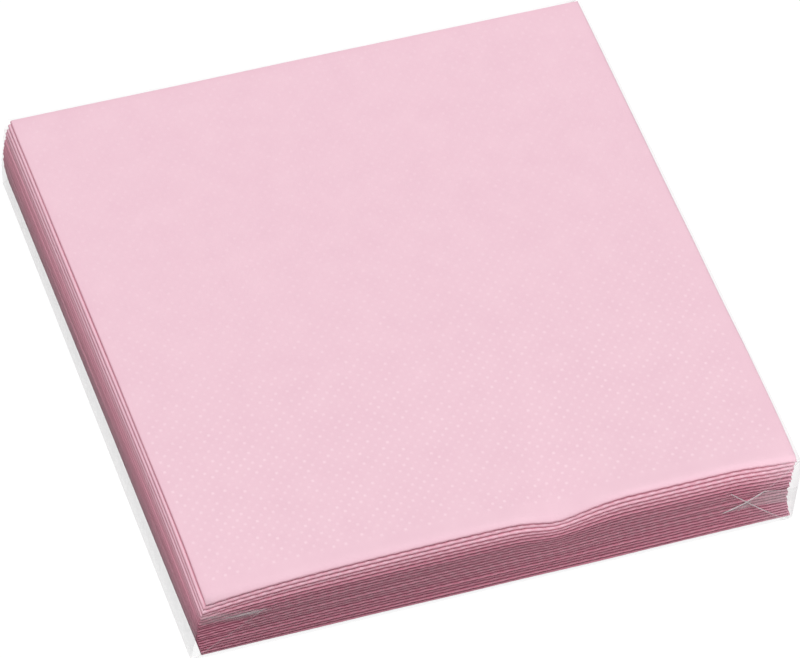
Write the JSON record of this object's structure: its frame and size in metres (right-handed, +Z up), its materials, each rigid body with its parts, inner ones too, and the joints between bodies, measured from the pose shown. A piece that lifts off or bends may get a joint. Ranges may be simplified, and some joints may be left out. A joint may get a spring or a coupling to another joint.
{
  "type": "stack of paper napkins",
  "caption": "Stack of pale pink square paper napkins, each folded twice, sealed flat in a clear film overwrap with envelope-folded ends.",
  "frame": {"origin": "middle of the pack's footprint, on the surface it lies on", "axes": "+Z up through the stack, -Y towards the front end with the open leaf edges, -X towards the side with the second folds"},
  "size_m": [0.1696, 0.1676, 0.0264],
  "materials": {
    "napkin_paper": "soft matt tissue, dyed pale pink, with a fine dot emboss",
    "clear_film": "clear glossy film with creases at the folded ends"
  },
  "bodies": {
    "root": {"napkin_01": "napkin_paper", "napkin_02": "napkin_paper", "napkin_03": "napkin_paper", "napkin_04": "napkin_paper", "napkin_05": "napkin_paper", "napkin_06": "napkin_paper", "napkin_07": "napkin_paper", "napkin_08": "napkin_paper", "napkin_09": "napkin_paper", "napkin_10": "napkin_paper", "napkin_11": "napkin_paper", "napkin_12": "napkin_paper", "napkin_13": "napkin_paper", "napkin_14": "napkin_paper", "napkin_15": "napkin_paper", "napkin_16": "napkin_paper", "napkin_17": "napkin_paper", "napkin_18": "napkin_paper", "napkin_19": "napkin_paper", "napkin_20": "napkin_paper", "film_wrap": "clear_film"}
  },
  "joints": []
}
